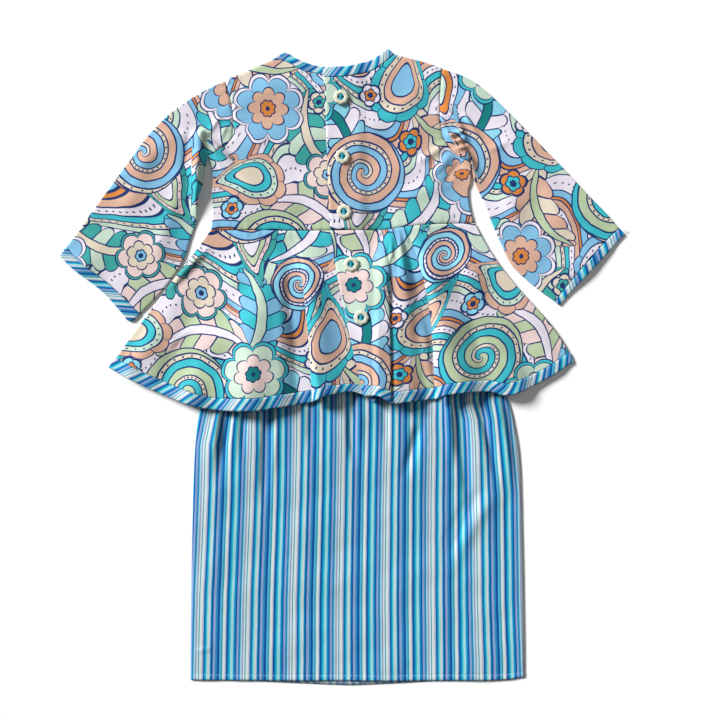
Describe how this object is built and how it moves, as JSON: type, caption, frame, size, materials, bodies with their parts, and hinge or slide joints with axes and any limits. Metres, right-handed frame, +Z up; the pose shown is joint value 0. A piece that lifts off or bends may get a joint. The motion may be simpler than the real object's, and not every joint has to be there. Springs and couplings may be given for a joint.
{
  "type": "baju kurung set for a small child: long-sleeved flared top over a straight skirt",
  "caption": "Flared, back-buttoned long-sleeved top with striped bindings laid face down over its straight striped skirt, both flat.",
  "frame": {"origin": "under the middle of the laid-out set, on the surface that it lies on", "axes": "+Y towards the neck, +Z up out of the surface, +X to the wearer's right as the back is seen from above"},
  "size_m": [0.5676, 0.6396, 0.0136],
  "materials": {
    "printed_cotton": "matte printed cotton",
    "striped_cotton": "matte woven stripe",
    "button": "polished, slightly pearly"
  },
  "bodies": {
    "root": {"front_bodice": "printed_cotton", "back_bodice_left": "printed_cotton", "back_bodice_right": "printed_cotton", "front_peplum": "printed_cotton", "back_peplum_left": "printed_cotton", "back_peplum_right": "printed_cotton", "left_sleeve": "printed_cotton", "right_sleeve": "printed_cotton", "neck_binding": "striped_cotton", "hem_binding": "striped_cotton", "left_cuff_binding": "striped_cotton", "right_cuff_binding": "striped_cotton", "skirt_back": "striped_cotton", "skirt_front": "striped_cotton", "skirt_waistband": "striped_cotton", "button_1": "button", "button_2": "button", "button_3": "button", "button_4": "button", "button_5": "button"}
  },
  "joints": []
}
